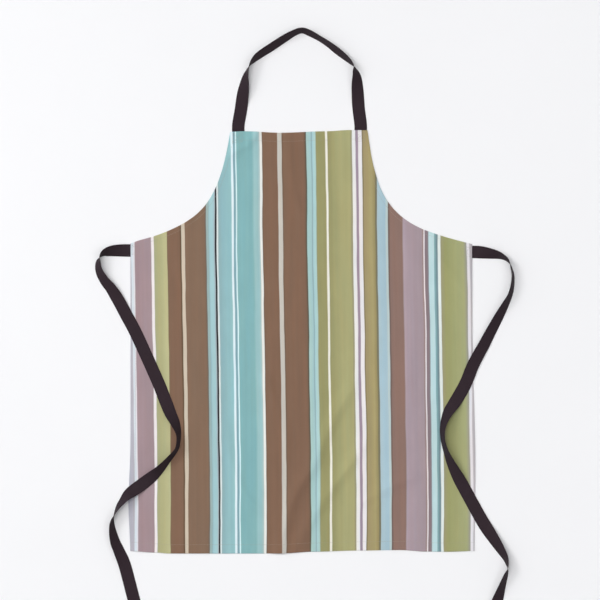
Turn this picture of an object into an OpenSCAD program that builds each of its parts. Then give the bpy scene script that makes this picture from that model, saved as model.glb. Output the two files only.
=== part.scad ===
// Bib apron laid flat, front up: one cloth panel with hems turned to its back, a neck loop
// and two waist ties of twill tape, and the thread that holds them together.
// Millimetres. X is across the apron, +Y runs from the bottom hem to the bib, +Z is the front.
// The origin is under the middle of the panel, on the surface that the apron lies on.
// Left and right are those of someone looking at the front.

/* [Cloth panel] */
// Width of the skirt
panel_w = 700; // [660:5:740]
// Height from the bottom hem to the top of the bib
panel_h = 857; // [820:1:900]
// Width of the bib along its top edge
bib_w = 278; // [260:2:300]
// Height of the straight side edges
side_h = 627; // [600:1:650]
// Sideways lie of the bib against the skirt, as the apron is laid down
bib_shift = -6; // [-8:1:8]
// Thickness of one layer of cloth
cloth_t = 0.5; // [0.4:0.05:0.8]

/* [Hems] */
// Width of the hem across the top of the bib
top_hem_w = 20; // [16:1:24]
// Width of the hem along each armhole
armhole_hem_w = 10; // [8:1:12]
// Width of the hem down each side
side_hem_w = 12; // [10:1:16]
// Width of the hem along the bottom
bottom_hem_w = 20; // [16:1:26]

/* [Tape] */
// Width of the twill tape
tape_w = 25.4; // [20:0.2:26]
// Thickness of the twill tape
tape_t = 1; // [0.8:0.1:1.2]
// Length of tape sewn down behind the cloth at each root
sewn_len = 25; // [22:1:28]
// Distance between the middles of the two legs of the neck loop
neck_spacing = 248; // [236:2:252]
// How far below the top of the side edge the left tie is sewn, to its middle
left_tie_drop = 13; // [13:0.5:20]
// How far below the top of the side edge the right tie is sewn, to its middle
right_tie_drop = 16; // [13:0.5:20]
// Length of the turned end at the tip of each tie
tip_len = 12; // [8:1:16]

/* [Thread] */
// Width of a line of stitching
thread_w = 0.6; // [0.4:0.1:1]
// Height of the thread above what it is sewn through
thread_t = 0.25; // [0.2:0.05:0.3]
// Distance from the inner edge of a hem to its stitching
stitch_inset = 2; // [1.5:0.5:3]
// Distance from the edges of the tape to its box stitch
box_inset = 3; // [2:0.5:4]

/* [Hidden] */

cloth_colour = [0.55, 0.47, 0.38];
hem_colour = [0.49, 0.61, 0.58];
tape_colour = [0.2, 0.16, 0.18];
thread_colour = [0.62, 0.57, 0.5];

side_x = panel_w / 2;
top_y = panel_h / 2;
bottom_y = -panel_h / 2;
side_top_y = bottom_y + side_h;

// A hem is two layers of cloth under the panel, and the tape lies between its cut ends.
hem_t = 2 * cloth_t;
panel_z = max(hem_t, tape_t);
front_z = panel_z + cloth_t;
over_panel = front_z + 0.3;

// Each armhole is one Bezier curve. Its two handles stop short of where the end tangents meet.
armhole_corner = [168, 242];
handle_share = 0.83;
armhole_steps = 28;

// The neck loop turns over a line this far past the top of the bib.
fold_gap = 10;
// How far the neck tape's fixed ends stop short of that line
hinge_gap = 0.8;
// How far each tie's two solids stop short of its hinge, as a share of a step of its route
hinge_share = 0.1;

// Routes of the tape: x, y, tilt in degrees, and how much of it lies over the panel, 0 to 1.
// A tilt of 0 is flat, face up, and at 90 or -90 the tape stands on one edge.

// The neck loop, from the middle of the bib's top edge. It stands up where it turns.
neck_route = [
    [-124, 13, 0, 0], [-119, 42, 0, 0], [-115, 73, -18, 0], [-112, 93, -40, 0],
    [-109, 112, -65, 0], [-102, 131, -90, 0], [-92, 144, -113, 0], [-79, 155, -124, 0],
    [-56, 170, -127, 0], [-30, 187, -124, 0], [-11, 198, -117, 0], [5, 203, -114, 0],
    [20, 198, -116, 0], [42, 186, -112, 0], [59, 175, -115, 0], [76, 162, -120, 0],
    [91, 150, -115, 0], [102, 140, -106, 0], [110, 131, -90, 0], [113, 122, -67, 0],
    [116, 110, -46, 0], [117, 95, -28, 0], [118, 77, -14, 0], [120, 46, 0, 0],
    [124, 13, 0, 0]
];

// The left tie, from where it leaves the left side edge. The first point is its sewn end.
left_route = [
    [25, 0, 0, 0], [0, 0, 0, 0], [-20, 0, -15, 0], [-36, -1, -32, 0],
    [-49, -4, -52, 0], [-56, -8, -71, 0], [-61, -14, -90, 0], [-64, -23, -113, 0],
    [-64, -35, -122, 0], [-60, -47, -131, 0], [-51, -62, -140, 0], [-38, -78, -152, 0],
    [-23, -102, -172, 0.5], [-8, -130, -180, 1], [14, -172, -180, 1], [56, -265, -180, 1],
    [71, -303, -182, 1], [82, -330, -203, 1], [91, -348, -221, 1], [97, -364, -240, 1],
    [99, -377, -251, 1], [98, -392, -254, 1], [95, -403, -254, 1], [87, -414, -250, 1],
    [76, -427, -243, 1], [59, -446, -225, 1], [42, -461, -200, 1], [24, -475, -180, 1],
    [7, -487, -164, 1], [-5, -496, -142, 0.7], [-15, -508, -122, 0.1], [-24, -520, -110, 0],
    [-33, -539, -90, 0], [-36, -552, -73, 0], [-35, -569, -58, 0], [-30, -591, -41, 0],
    [-22, -610, -30, 0], [-10, -641, -10, 0], [8, -710, 0, 0], [14, -731, 0, 0]
];
left_hinge = 6;

// The right tie, from where it leaves the right side edge. The first point is its sewn end.
right_route = [
    [-25, 0, 0, 0], [0, 0, 0, 0], [14, -1, 14, 0], [29, -3, 33, 0],
    [45, -6, 51, 0], [56, -10, 66, 0], [64, -15, 76, 0], [70, -23, 90, 0],
    [74, -34, 99, 0], [77, -50, 104, 0], [75, -73, 110, 0],
    [70, -90, 115, 0], [61, -108, 126, 0], [47, -134, 140, 0], [32, -162, 149, 0],
    [19, -187, 157, 0.6], [-3, -228, 169, 1], [-18, -265, 180, 1], [-35, -296, 182, 1],
    [-45, -311, 203, 1], [-54, -324, 217, 1], [-62, -342, 236, 1], [-66, -360, 247, 1],
    [-66, -375, 251, 1], [-64, -388, 252, 1], [-59, -404, 248, 1], [-50, -426, 231, 1],
    [-39, -448, 210, 1], [-23, -477, 182, 1], [-3, -514, 180, 1], [18, -551, 182, 0.9],
    [38, -582, 208, 0], [52, -604, 227, 0], [62, -622, 246, 0], [66, -641, 270, 0],
    [63, -654, 290, 0], [56, -675, 304, 0], [45, -709, 335, 0],
    [34, -743, 360, 0], [30, -756, 360, 0]
];
right_hinge = 7;

// Rings of tape from one named point of a route to another
neck_rings = 72;
end_rings = 14;
tie_rings = 66;

function unit(v) = v / norm(v);

// The slope of a curve at its point b. A tilt or a share of the panel never overshoots its
// listed values: its slope is 0 at a peak or where it stays the same.
function free_slope(a, b, c) = (c - a) / 2;
function held_slope(a, b, c) =
    (b - a) * (c - b) > 0 ? 2 * (b - a) * (c - b) / (c - a) : 0;
function slopes(a, b, c) =
    [free_slope(a[0], b[0], c[0]), free_slope(a[1], b[1], c[1]),
     held_slope(a[2], b[2], c[2]), held_slope(a[3], b[3], c[3])];

// A point of a route at any place u along it, on a smooth curve through the listed points
function route_at(r, u) =
    let (last = len(r) - 1,
         i = min(floor(u), last - 1),
         t = u - i,
         b = r[i], c = r[i + 1],
         leave = slopes(r[max(i - 1, 0)], b, c),
         arrive = slopes(b, c, r[min(i + 2, last)]))
    b + leave * t + (3 * (c - b) - 2 * leave - arrive) * t * t
    + (2 * (b - c) + leave + arrive) * t * t * t;

// The four corners of the tape at one place of its route
function tape_ring(r, u) =
    let (p = route_at(r, u),
         before = route_at(r, max(u - 0.05, 0)),
         after = route_at(r, min(u + 0.05, len(r) - 1)),
         along = unit([after[0] - before[0], after[1] - before[1]]),
         left = [-along[1], along[0], 0],
         up = [0, 0, 1],
         across = left * cos(p[2]) + up * sin(p[2]),
         face = up * cos(p[2]) - left * sin(p[2]),
         base = over_panel * max(p[3], 0),
         height = (tape_t * abs(cos(p[2])) + tape_w * abs(sin(p[2]))) / 2,
         middle = [p[0], p[1], base + height])
    [for (c = [[-1, -1], [1, -1], [1, 1], [-1, 1]])
        middle + across * c[0] * tape_w / 2 + face * c[1] * tape_t / 2];

// Tape swept along a route between two places. Its two faces are split along the same
// diagonals, so that it keeps its thickness where it twists.
module tape(r, from, to, rings) {
    points = [for (i = [0:rings]) each tape_ring(r, from + (to - from) * i / rings)];
    walls = [for (i = [0:rings - 1], k = [0:3])
        let (a = 4 * i + k, b = 4 * i + (k + 1) % 4)
        each k < 2 ? [[a, a + 4, b + 4], [a, b + 4, b]] : [[a, a + 4, b], [b, a + 4, b + 4]]];
    last = 4 * rings;
    caps = [[0, 1, 2], [0, 2, 3], [last, last + 2, last + 1], [last, last + 3, last + 2]];
    polyhedron(points, concat(walls, caps));
}

// Bezier curve of an armhole on the +X side, and its unit normal towards the cloth
function armhole_handles() =
    let (a = [bib_w / 2, top_y], b = [side_x, side_top_y])
    [a, a + (armhole_corner - a) * handle_share, b + (armhole_corner - b) * handle_share, b];
function bezier(h, t) =
    h[0] * pow(1 - t, 3) + 3 * h[1] * pow(1 - t, 2) * t + 3 * h[2] * (1 - t) * t * t
    + h[3] * pow(t, 3);
function bezier_slope(h, t) =
    3 * (h[1] - h[0]) * pow(1 - t, 2) + 6 * (h[2] - h[1]) * (1 - t) * t
    + 3 * (h[3] - h[2]) * t * t;
function armhole_point(t, inset) =
    let (h = armhole_handles(), s = unit(bezier_slope(h, t)))
    bezier(h, t) + inset * [s[1], -s[0]];

// The bib lies a little to one side: its shift grows over the first part of the armhole.
function laid(p) =
    [p[0] + bib_shift * max(0, min(1, (p[1] - side_top_y) / 30)), p[1]];
function armhole(side, inset) =
    [for (i = [0:armhole_steps])
        let (p = armhole_point(i / armhole_steps, inset))
        laid([side * p[0], p[1]])];
function reversed(list) = [for (i = [len(list) - 1:-1:0]) list[i]];

// Outline of the finished panel
module outline() {
    polygon(concat([[-side_x, bottom_y], [side_x, bottom_y]],
                   reversed(armhole(1, 0)), armhole(-1, 0)));
}

// A strip along one armhole between two distances from its edge. It runs past both ends.
module armhole_strip(side, near, far) {
    past = [bib_w / 2, top_y + 5];
    start = [for (d = [near, far]) laid([side * (past[0] - d), past[1]])];
    finish = [for (d = [near, far]) [side * (side_x + 5), side_top_y - d]];
    intersection() {
        outline();
        polygon(concat([start[0]], armhole(side, near), [finish[0], finish[1]],
                       reversed(armhole(side, far)), [start[1]]));
    }
}

function neck_x(side) = bib_shift + side * neck_spacing / 2;
function tie_y(side) = side_top_y - (side < 0 ? left_tie_drop : right_tie_drop);

// The places where tape takes the room of a hem, with a little clearance
module tape_places() {
    clear = tape_w + 0.4;
    for (side = [-1, 1]) {
        translate([neck_x(side) - clear / 2, top_y - sewn_len - 0.2])
            square([clear, sewn_len + 1]);
        translate([side > 0 ? side_x - sewn_len - 0.2 : -side_x - 1, tie_y(side) - clear / 2])
            square([sewn_len + 1.2, clear]);
    }
}

// A hem lies behind the panel, open where tape passes through it
module hem() {
    color(hem_colour) linear_extrude(hem_t) difference() {
        children();
        tape_places();
    }
}

// A line of stitching lies on the front of the panel
module stitching() {
    color(thread_colour) translate([0, 0, front_z]) linear_extrude(thread_t) children();
}

module side_strip(side, near, far) {
    intersection() {
        outline();
        translate([side > 0 ? side_x - far : -side_x + near, bottom_y])
            square([far - near, side_h]);
    }
}

module bottom_strip(near, far) {
    translate([-side_x, bottom_y + near]) square([panel_w, far - near]);
}

module top_strip(near, far) {
    intersection() {
        outline();
        translate([-side_x, top_y - far]) square([panel_w, far - near]);
    }
}

module apron_panel() {
    color(cloth_colour) translate([0, 0, panel_z]) linear_extrude(cloth_t) outline();
}

// The armholes are hemmed first, then the top and the sides, and the bottom last.
module bib_top_hem() {
    hem() difference() {
        top_strip(0, top_hem_w);
        for (side = [-1, 1]) armhole_strip(side, -1, armhole_hem_w);
    }
}

module armhole_hem(side) {
    hem() armhole_strip(side, 0, armhole_hem_w);
}
module left_armhole_hem() { armhole_hem(-1); }
module right_armhole_hem() { armhole_hem(1); }

module side_hem(side) {
    hem() difference() {
        side_strip(side, 0, side_hem_w);
        armhole_strip(side, -1, armhole_hem_w);
        bottom_strip(0, bottom_hem_w);
    }
}
module left_side_hem() { side_hem(-1); }
module right_side_hem() { side_hem(1); }

module bottom_hem() {
    hem() bottom_strip(0, bottom_hem_w);
}

// Each line of stitching follows the inner edge of its hem.
function line_near(hem_w) = hem_w - stitch_inset - thread_w / 2;
function line_far(hem_w) = hem_w - stitch_inset + thread_w / 2;

module armhole_stitching(side) {
    stitching() armhole_strip(side, line_near(armhole_hem_w), line_far(armhole_hem_w));
}
module left_armhole_stitching() { armhole_stitching(-1); }
module right_armhole_stitching() { armhole_stitching(1); }

// The other lines stop just short of the armhole stitching and of the bottom stitching.
module bib_top_stitching() {
    stitching() difference() {
        top_strip(line_near(top_hem_w), line_far(top_hem_w));
        for (side = [-1, 1]) armhole_strip(side, -1, armhole_hem_w);
    }
}

module side_stitching(side) {
    stitching() difference() {
        side_strip(side, line_near(side_hem_w), line_far(side_hem_w));
        armhole_strip(side, -1, armhole_hem_w);
        bottom_strip(0, bottom_hem_w);
    }
}
module left_side_stitching() { side_stitching(-1); }
module right_side_stitching() { side_stitching(1); }

module bottom_stitching() {
    stitching() bottom_strip(line_near(bottom_hem_w), line_far(bottom_hem_w));
}

// The square of stitching, crossed corner to corner, that holds a sewn end. X is along the tape.
module box_stitch() {
    long = sewn_len - 2 * box_inset;
    wide = tape_w - 2 * box_inset;
    slope = atan2(wide, long);
    color(thread_colour) linear_extrude(thread_t) {
        difference() {
            square([long + thread_w, wide + thread_w], center = true);
            square([long - thread_w, wide - thread_w], center = true);
        }
        for (turn = [-slope, slope])
            rotate(turn) square([norm([long, wide]), thread_w], center = true);
    }
}

// The box stitch of a root lies inside the hem's own line of stitching.
module neck_box_stitch(side) {
    translate([neck_x(side), top_y - sewn_len / 2, front_z + thread_t]) rotate(90) box_stitch();
}
module neck_left_box_stitch() { neck_box_stitch(-1); }
module neck_right_box_stitch() { neck_box_stitch(1); }

module tie_box_stitch(side) {
    translate([side * (side_x - sewn_len / 2), tie_y(side), front_z + thread_t]) box_stitch();
}
module left_tie_box_stitch() { tie_box_stitch(-1); }
module right_tie_box_stitch() { tie_box_stitch(1); }

// The fixed ends of the neck loop, from the sewn part to where the loop turns over
module neck_tape_end(side) {
    color(tape_colour) translate([neck_x(side) - tape_w / 2, top_y - sewn_len, 0])
        cube([tape_w, sewn_len + fold_gap - hinge_gap, tape_t]);
}
module neck_tape_left_end() { neck_tape_end(-1); }
module neck_tape_right_end() { neck_tape_end(1); }

module neck_loop() {
    color(tape_colour) translate([bib_shift, top_y, 0])
        tape(neck_route, 0, len(neck_route) - 1, neck_rings);
}

// Each tie turns about the upright line where the tape first stands on its edge.
module at_side(side) {
    translate([side * side_x, tie_y(side), 0]) children();
}

module tie_end(side, route, hinge) {
    color(tape_colour) at_side(side) tape(route, 0, hinge - hinge_share, end_rings);
}
module left_tie_end() { tie_end(-1, left_route, left_hinge); }
module right_tie_end() { tie_end(1, right_route, right_hinge); }

module tie(side, route, hinge) {
    color(tape_colour) at_side(side)
        tape(route, hinge + hinge_share, len(route) - 1, tie_rings);
}
module left_tie() { tie(-1, left_route, left_hinge); }
module right_tie() { tie(1, right_route, right_hinge); }

// Places children at the tip of a tie, with X pointing back along the tape.
module at_tip(side, route) {
    end = route[len(route) - 1];
    before = route_at(route, len(route) - 1.05);
    at_side(side) translate([end[0], end[1], tape_t])
        rotate(atan2(before[1] - end[1], before[0] - end[0])) children();
}

// The end of the tape, turned back on itself and sewn across
module tie_tip(side, route) {
    color(tape_colour) at_tip(side, route)
        translate([0, -tape_w / 2, 0]) cube([tip_len, tape_w, tape_t]);
}
module left_tie_tip() { tie_tip(-1, left_route); }
module right_tie_tip() { tie_tip(1, right_route); }

module tie_tip_stitch(side, route) {
    color(thread_colour) at_tip(side, route)
        translate([tip_len - stitch_inset, box_inset - tape_w / 2, tape_t])
            cube([thread_w, tape_w - 2 * box_inset, thread_t]);
}
module left_tie_tip_stitch() { tie_tip_stitch(-1, left_route); }
module right_tie_tip_stitch() { tie_tip_stitch(1, right_route); }

apron_panel();
bib_top_hem();
left_armhole_hem();
right_armhole_hem();
left_side_hem();
right_side_hem();
bottom_hem();
bib_top_stitching();
left_armhole_stitching();
right_armhole_stitching();
left_side_stitching();
right_side_stitching();
bottom_stitching();
neck_tape_left_end();
neck_tape_right_end();
neck_loop();
neck_left_box_stitch();
neck_right_box_stitch();
left_tie_end();
left_tie();
left_tie_tip();
left_tie_tip_stitch();
left_tie_box_stitch();
right_tie_end();
right_tie();
right_tie_tip();
right_tie_tip_stitch();
right_tie_box_stitch();
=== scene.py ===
import math

import bmesh
import bpy
import numpy as np
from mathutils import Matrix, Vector, noise
from mathutils.kdtree import KDTree


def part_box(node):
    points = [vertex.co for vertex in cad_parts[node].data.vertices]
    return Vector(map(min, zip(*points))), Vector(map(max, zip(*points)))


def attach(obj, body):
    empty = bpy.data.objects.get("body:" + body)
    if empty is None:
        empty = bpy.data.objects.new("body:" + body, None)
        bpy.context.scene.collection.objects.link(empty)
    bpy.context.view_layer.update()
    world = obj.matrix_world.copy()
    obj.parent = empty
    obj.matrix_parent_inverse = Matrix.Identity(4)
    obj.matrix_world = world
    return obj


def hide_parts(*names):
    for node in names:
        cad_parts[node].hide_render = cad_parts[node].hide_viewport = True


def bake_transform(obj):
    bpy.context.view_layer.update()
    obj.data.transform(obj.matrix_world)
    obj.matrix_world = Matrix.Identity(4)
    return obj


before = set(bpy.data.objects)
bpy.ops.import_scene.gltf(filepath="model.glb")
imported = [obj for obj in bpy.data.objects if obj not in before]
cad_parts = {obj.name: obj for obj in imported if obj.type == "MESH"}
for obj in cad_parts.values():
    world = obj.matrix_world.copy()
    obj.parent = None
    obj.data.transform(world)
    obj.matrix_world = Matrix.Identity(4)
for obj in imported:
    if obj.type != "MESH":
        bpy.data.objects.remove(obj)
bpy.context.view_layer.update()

# A bib apron of striped cloth laid flat, front up, with hems turned to its back, a neck loop and
# two waist ties of dark twill tape, and the thread that holds them together.
# Metres, in the frame of the CAD: X across, +Y towards the bib, +Z out of the front.

MM = 0.001

# ---------------------------------------------------------------- sizes, from the frame

PANEL_LOW, PANEL_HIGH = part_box("apron_panel")
SIDE_X = PANEL_HIGH.x
TOP_Y = PANEL_HIGH.y
BOTTOM_Y = PANEL_LOW.y
SIDE_HEIGHT = 0.627
SIDE_TOP_Y = BOTTOM_Y + SIDE_HEIGHT
BIB_HALF = 0.139
BIB_SHIFT = -0.006
ARMHOLE_CORNER = (0.168, 0.242)
HANDLE_SHARE = 0.83

TOP_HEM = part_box("bib_top_hem")[1].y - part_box("bib_top_hem")[0].y
BOTTOM_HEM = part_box("bottom_hem")[1].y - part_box("bottom_hem")[0].y
SIDE_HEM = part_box("left_side_hem")[1].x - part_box("left_side_hem")[0].x
ARMHOLE_HEM = 0.010

TAPE_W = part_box("neck_tape_left_end")[1].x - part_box("neck_tape_left_end")[0].x
TAPE_T = 0.001
SEWN = 0.025
NECK_HALF = 0.124
LEFT_TIE_Y = SIDE_TOP_Y - 0.013
RIGHT_TIE_Y = SIDE_TOP_Y - 0.016
TIP_LEN = 0.012
OVER_PANEL = 0.0018

FRONT_Z = PANEL_HIGH.z
CLOTH_T = PANEL_HIGH.z - PANEL_LOW.z
HEM_LOW_Z = 0.0001
HEM_HIGH_Z = 0.00095

# ---------------------------------------------------------------- small helpers


def smooth(t):
    """0 below 0, 1 above 1, and an S between them."""
    t = np.clip(t, 0, 1)
    return t * t * (3 - 2 * t)


def smooth_between(x, points):
    """A level line through (place, value) points, with an S from each to the next."""
    places, values = np.array(points, float).T
    x = np.clip(x, places[0], places[-1])
    i = np.clip(np.searchsorted(places, x, side="right") - 1, 0, len(places) - 2)
    share = smooth((x - places[i]) / (places[i + 1] - places[i]))
    return values[i] + (values[i + 1] - values[i]) * share


def noise_at(x, y, scale_x, scale_y, seed):
    """Smooth noise, roughly from -1 to 1, at each place."""
    found = [noise.noise(Vector((a * scale_x, b * scale_y, seed))) for a, b in zip(x, y)]
    return np.array(found)


def new_object(name, points, faces, material):
    """A smooth-shaded mesh with its faces turned outwards."""
    mesh = bpy.data.meshes.new(name)
    mesh.from_pydata([tuple(p) for p in points], [], faces)
    mesh.materials.append(material)
    work = bmesh.new()
    work.from_mesh(mesh)
    bmesh.ops.recalc_face_normals(work, faces=work.faces)
    work.to_mesh(mesh)
    work.free()
    mesh.polygons.foreach_set("use_smooth", [True] * len(mesh.polygons))
    made = bpy.data.objects.new(name, mesh)
    bpy.context.scene.collection.objects.link(made)
    return made


def store(obj, name, values):
    """Keeps a vector for each point of a mesh, for its material to read."""
    attribute = obj.data.attributes.new(name, "FLOAT_VECTOR", "POINT")
    attribute.data.foreach_set("vector", np.array(values, np.float32).ravel())


def tube_faces(rings, around):
    """Quads round a tube of rings, with a cap at each end."""
    faces = []
    for i in range(rings - 1):
        for k in range(around):
            a = i * around + k
            b = i * around + (k + 1) % around
            faces.append((a, b, b + around, a + around))
    faces.append(tuple(range(around)))
    faces.append(tuple(range((rings - 1) * around, rings * around)))
    return faces


# ---------------------------------------------------------------- camera

CAMERA_HEIGHT = 10.0
VIEW_WIDTH = 1.218
VIEW_CENTRE = (-0.005, 0.085)
SENSOR = 36.0


def make_camera():
    """Straight down over the apron, from far off, so that the view is nearly flat."""
    data = bpy.data.cameras.new("camera")
    data.sensor_width = SENSOR
    data.lens = SENSOR * CAMERA_HEIGHT / VIEW_WIDTH
    data.clip_end = 100
    camera = bpy.data.objects.new("camera", data)
    camera.location = (VIEW_CENTRE[0], VIEW_CENTRE[1], CAMERA_HEIGHT)
    bpy.context.scene.collection.objects.link(camera)
    bpy.context.scene.camera = camera


make_camera()

# ---------------------------------------------------------------- shader helpers


def to_linear(colour):
    """The linear colour of an sRGB colour given from 0 to 255."""
    parts = [c / 255 for c in colour]
    return [p / 12.92 if p <= 0.04045 else ((p + 0.055) / 1.055) ** 2.4 for p in parts] + [1.0]


def new_material(name):
    material = bpy.data.materials.new(name)
    material.use_nodes = True
    tree = material.node_tree
    tree.nodes.clear()
    output = tree.nodes.new("ShaderNodeOutputMaterial")
    surface = tree.nodes.new("ShaderNodeBsdfPrincipled")
    tree.links.new(surface.outputs["BSDF"], output.inputs["Surface"])
    return material, tree, surface


def feed(tree, socket, value):
    """Links a socket to another, or sets it to a number."""
    if isinstance(value, bpy.types.NodeSocket):
        tree.links.new(value, socket)
    else:
        socket.default_value = value


def calc(tree, operation, a, b=0.0, c=0.0):
    made = tree.nodes.new("ShaderNodeMath")
    made.operation = operation
    for socket, value in zip(made.inputs, (a, b, c)):
        feed(tree, socket, value)
    return made.outputs[0]


def vector_of(tree, x, y, z=0.0):
    made = tree.nodes.new("ShaderNodeCombineXYZ")
    for socket, value in zip(made.inputs, (x, y, z)):
        feed(tree, socket, value)
    return made.outputs[0]


def spaced(tree, x, y, per_x, per_y):
    """A place for a noise whose grains are 1 / per_x long across, and 1 / per_y along."""
    return vector_of(tree, calc(tree, "MULTIPLY", x, per_x), calc(tree, "MULTIPLY", y, per_y))


def noise_of(tree, vector, scale=1.0, detail=2.0, roughness=0.5):
    made = tree.nodes.new("ShaderNodeTexNoise")
    feed(tree, made.inputs["Vector"], vector)
    made.inputs["Scale"].default_value = scale
    made.inputs["Detail"].default_value = detail
    made.inputs["Roughness"].default_value = roughness
    return made.outputs["Fac"]


def spread_of(tree, value, low, high):
    """A value from 0 to 1, spread from low to high."""
    made = tree.nodes.new("ShaderNodeMapRange")
    feed(tree, made.inputs["Value"], value)
    made.inputs["To Min"].default_value = low
    made.inputs["To Max"].default_value = high
    return made.outputs["Result"]


def mix_of(tree, share, a, b, blend="MIX"):
    made = tree.nodes.new("ShaderNodeMix")
    made.data_type = "RGBA"
    made.blend_type = blend
    feed(tree, made.inputs["Factor"], share)
    sockets = [s for s in made.inputs if s.type == "RGBA"]
    feed(tree, sockets[0], a)
    feed(tree, sockets[1], b)
    return [s for s in made.outputs if s.type == "RGBA"][0]


def wave_of(tree, place, pitch):
    """A wave from 0 to 1 that repeats every pitch."""
    turns = calc(tree, "MULTIPLY", place, 2 * math.pi / pitch)
    return calc(tree, "MULTIPLY_ADD", calc(tree, "SINE", turns), 0.5, 0.5)


def bump_of(tree, height, distance, strength, under=None):
    made = tree.nodes.new("ShaderNodeBump")
    feed(tree, made.inputs["Height"], height)
    made.inputs["Distance"].default_value = distance
    made.inputs["Strength"].default_value = strength
    if under is not None:
        feed(tree, made.inputs["Normal"], under)
    return made.outputs["Normal"]


def stored(tree, name):
    """The x, y and z of a vector that the mesh keeps for its material."""
    made = tree.nodes.new("ShaderNodeAttribute")
    made.attribute_name = name
    split = tree.nodes.new("ShaderNodeSeparateXYZ")
    tree.links.new(made.outputs["Vector"], split.inputs[0])
    return split.outputs


# ---------------------------------------------------------------- tape material

TAPE_COLOUR = (48, 37, 43)
# The lighter tape colour is a painted highlight on the crests of the ribs.
TAPE_RIB_HIGHLIGHT = (66, 54, 60)
RIB_PITCH = 0.0016
CHEVRON = 0.0032
YARN_PITCH = 0.0007


def tape_material():
    """Dark herringbone twill: slanting ribs that turn back along the tape in narrow rows, with a
    painted highlight on the rib crests.
    """
    material, tree, surface = new_material("twill_tape")
    along, across, _ = stored(tree, "weave")
    turned = calc(tree, "PINGPONG", across, CHEVRON)
    rib = wave_of(tree, calc(tree, "ADD", along, turned), RIB_PITCH)
    yarn = wave_of(tree, across, YARN_PITCH)
    height = calc(tree, "MULTIPLY_ADD", yarn, 0.35, rib)
    place = vector_of(tree, along, across)
    patches = noise_of(tree, place, 45.0, 3.0, 0.6)
    fibres = noise_of(tree, place, 900.0, 2.0, 0.7)
    # Painted highlight: the colour turns lighter on the crests of the ribs, more so in random
    # patches.
    share = calc(tree, "MULTIPLY", spread_of(tree, rib, 0.1, 0.45), patches)
    colour = mix_of(tree, share, to_linear(TAPE_COLOUR), to_linear(TAPE_RIB_HIGHLIGHT))
    feed(tree, surface.inputs["Base Color"], colour)
    feed(tree, surface.inputs["Roughness"], spread_of(tree, fibres, 0.7, 0.95))
    surface.inputs["Specular IOR Level"].default_value = 0.12
    surface.inputs["Sheen Weight"].default_value = 0.03
    surface.inputs["Sheen Roughness"].default_value = 0.4
    fine = bump_of(tree, fibres, 0.0001, 0.3)
    feed(tree, surface.inputs["Normal"], bump_of(tree, height, 0.00015, 0.6, fine))
    return material


# ---------------------------------------------------------------- tape routes

# Each point is x and y in millimetres, the tilt in degrees, and how much of the tape lies over the
# panel. A tilt of 0 is flat, face up, and at 90 or -90 the tape stands on one edge.

# From the middle of the bib's top edge, without its sewn ends
NECK_ROUTE = [
    (-124, 13, 0, 0), (-119, 42, 0, 0), (-115, 73, -18, 0), (-112, 93, -40, 0),
    (-109, 112, -65, 0), (-102, 131, -90, 0), (-92, 144, -113, 0), (-79, 155, -124, 0),
    (-56, 170, -127, 0), (-30, 187, -124, 0), (-11, 198, -117, 0), (5, 203, -114, 0),
    (20, 198, -116, 0), (42, 186, -112, 0), (59, 175, -115, 0), (76, 162, -120, 0),
    (91, 150, -115, 0), (102, 140, -106, 0), (110, 131, -90, 0), (113, 122, -67, 0),
    (116, 110, -46, 0), (117, 95, -28, 0), (118, 77, -14, 0), (120, 46, 0, 0),
    (124, 13, 0, 0),
]
NECK_SEWN = [(124, -25, 0, 0), (124, -6, 0, 0)]

# From where the tie leaves the left side edge. The first point is its sewn end.
LEFT_ROUTE = [
    (25, 0, 0, 0), (0, 0, 0, 0), (-20, 0, -15, 0), (-36, -1, -32, 0),
    (-49, -4, -52, 0), (-56, -8, -71, 0), (-61, -14, -90, 0), (-64, -23, -113, 0),
    (-64, -35, -122, 0), (-60, -47, -131, 0), (-51, -62, -140, 0), (-38, -78, -152, 0),
    (-23, -102, -172, 0.5), (-8, -130, -180, 1), (14, -172, -180, 1), (56, -265, -180, 1),
    (71, -303, -182, 1), (82, -330, -203, 1), (91, -348, -221, 1), (97, -364, -240, 1),
    (99, -377, -251, 1), (98, -392, -254, 1), (95, -403, -254, 1), (87, -414, -250, 1),
    (76, -427, -243, 1), (59, -446, -225, 1), (42, -461, -200, 1), (24, -475, -180, 1),
    (7, -487, -164, 1), (-5, -496, -142, 0.7), (-15, -508, -122, 0.1), (-24, -520, -110, 0),
    (-33, -539, -90, 0), (-36, -552, -73, 0), (-35, -569, -58, 0), (-30, -591, -41, 0),
    (-22, -610, -30, 0), (-10, -641, -10, 0), (8, -710, 0, 0), (14, -731, 0, 0),
]

# From where the tie leaves the right side edge. The first point is its sewn end.
RIGHT_ROUTE = [
    (-25, 0, 0, 0), (0, 0, 0, 0), (14, -1, 14, 0), (29, -3, 33, 0),
    (45, -6, 51, 0), (56, -10, 66, 0), (64, -15, 76, 0), (70, -23, 90, 0),
    (74, -34, 99, 0), (77, -50, 104, 0), (75, -73, 110, 0),
    (70, -90, 115, 0), (61, -108, 126, 0), (47, -134, 140, 0), (32, -162, 149, 0),
    (19, -187, 157, 0.6), (-3, -228, 169, 1), (-18, -265, 180, 1), (-35, -296, 182, 1),
    (-45, -311, 203, 1), (-54, -324, 217, 1), (-62, -342, 236, 1), (-66, -360, 247, 1),
    (-66, -375, 251, 1), (-64, -388, 252, 1), (-59, -404, 248, 1), (-50, -426, 231, 1),
    (-39, -448, 210, 1), (-23, -477, 182, 1), (-3, -514, 180, 1), (18, -551, 182, 0.9),
    (38, -582, 208, 0), (52, -604, 227, 0), (62, -622, 246, 0), (66, -641, 270, 0),
    (63, -654, 290, 0), (56, -675, 304, 0), (45, -709, 335, 0),
    (34, -743, 360, 0), (30, -756, 360, 0),
]

RING_STEP = 0.0025


def held_slope(a, b, c):
    """The slope at b of a curve that never overshoots its listed values."""
    same_way = (b - a) * (c - b) > 0
    span = np.where(same_way, c - a, 1)
    return np.where(same_way, 2 * (b - a) * (c - b) / span, 0)


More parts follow.
